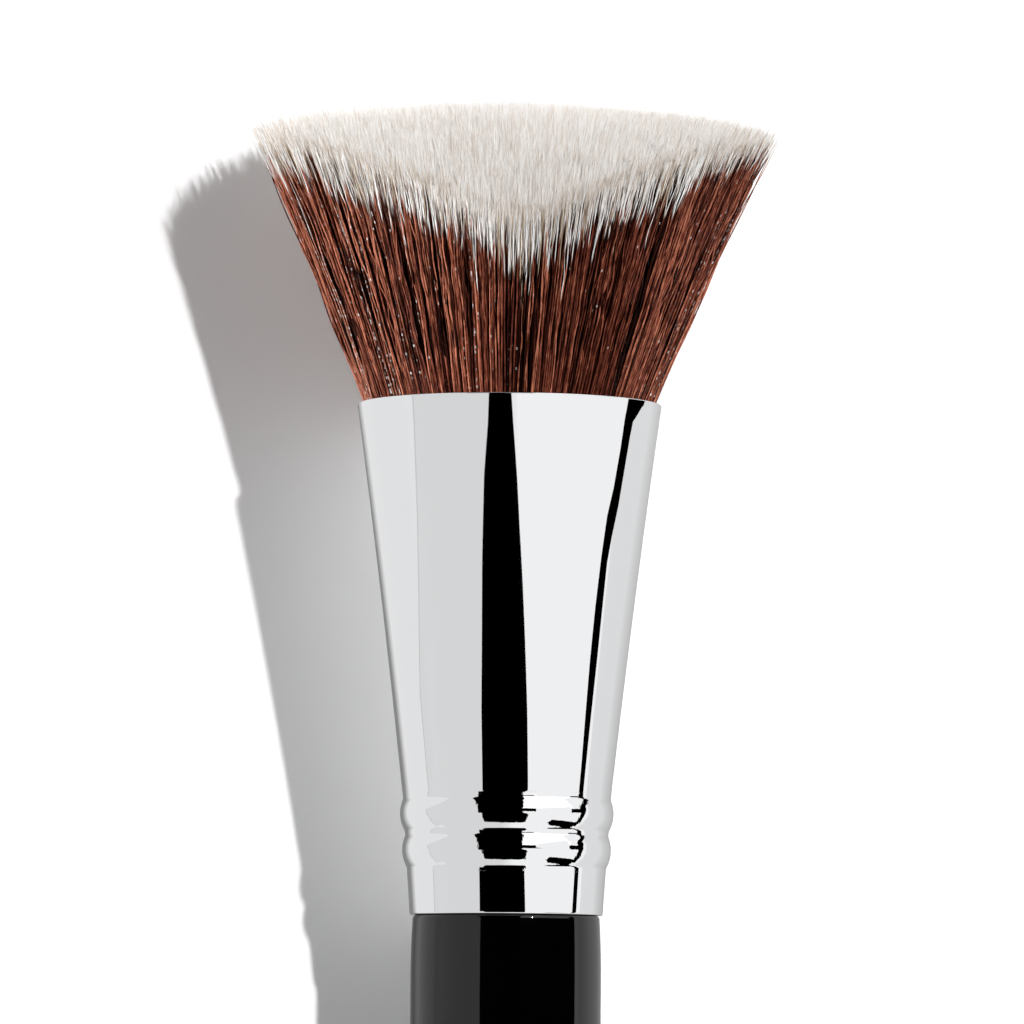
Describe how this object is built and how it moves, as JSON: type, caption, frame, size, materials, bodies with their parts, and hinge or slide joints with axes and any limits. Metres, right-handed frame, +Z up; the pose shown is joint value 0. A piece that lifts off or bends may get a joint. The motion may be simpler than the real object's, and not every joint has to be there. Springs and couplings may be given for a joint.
{
  "type": "kabuki makeup brush",
  "caption": "Dense angled makeup brush with brown, white-tipped fibres flaring from a chromed tapered ferrule with rolled beads, on a tapered black lacquered wooden handle.",
  "frame": {"origin": "on the table that the brush lies on, under the middle of its bounding box", "axes": "+X towards the tips of the fibres, almost along the handle, +Z up out of the table, through the pointed front of the tuft, +Y to the left seen from the front with the tips at the top"},
  "size_m": [0.1564, 0.0408, 0.0302],
  "materials": {
    "black_lacquer": "gloss black lacquer over turned beech",
    "chrome_plate": "bright plated, polished",
    "adhesive": "cured glue",
    "potting_resin": "clear amber epoxy",
    "thread": "twisted polyester",
    "brown_fibre": "tapered synthetic fibre, brown with white tips"
  },
  "bodies": {
    "root": {"handle": "black_lacquer", "ferrule": "chrome_plate", "tenon_adhesive": "adhesive", "resin_plug": "potting_resin", "binding_thread": "thread", "fibre_tuft": "brown_fibre"}
  },
  "joints": []
}
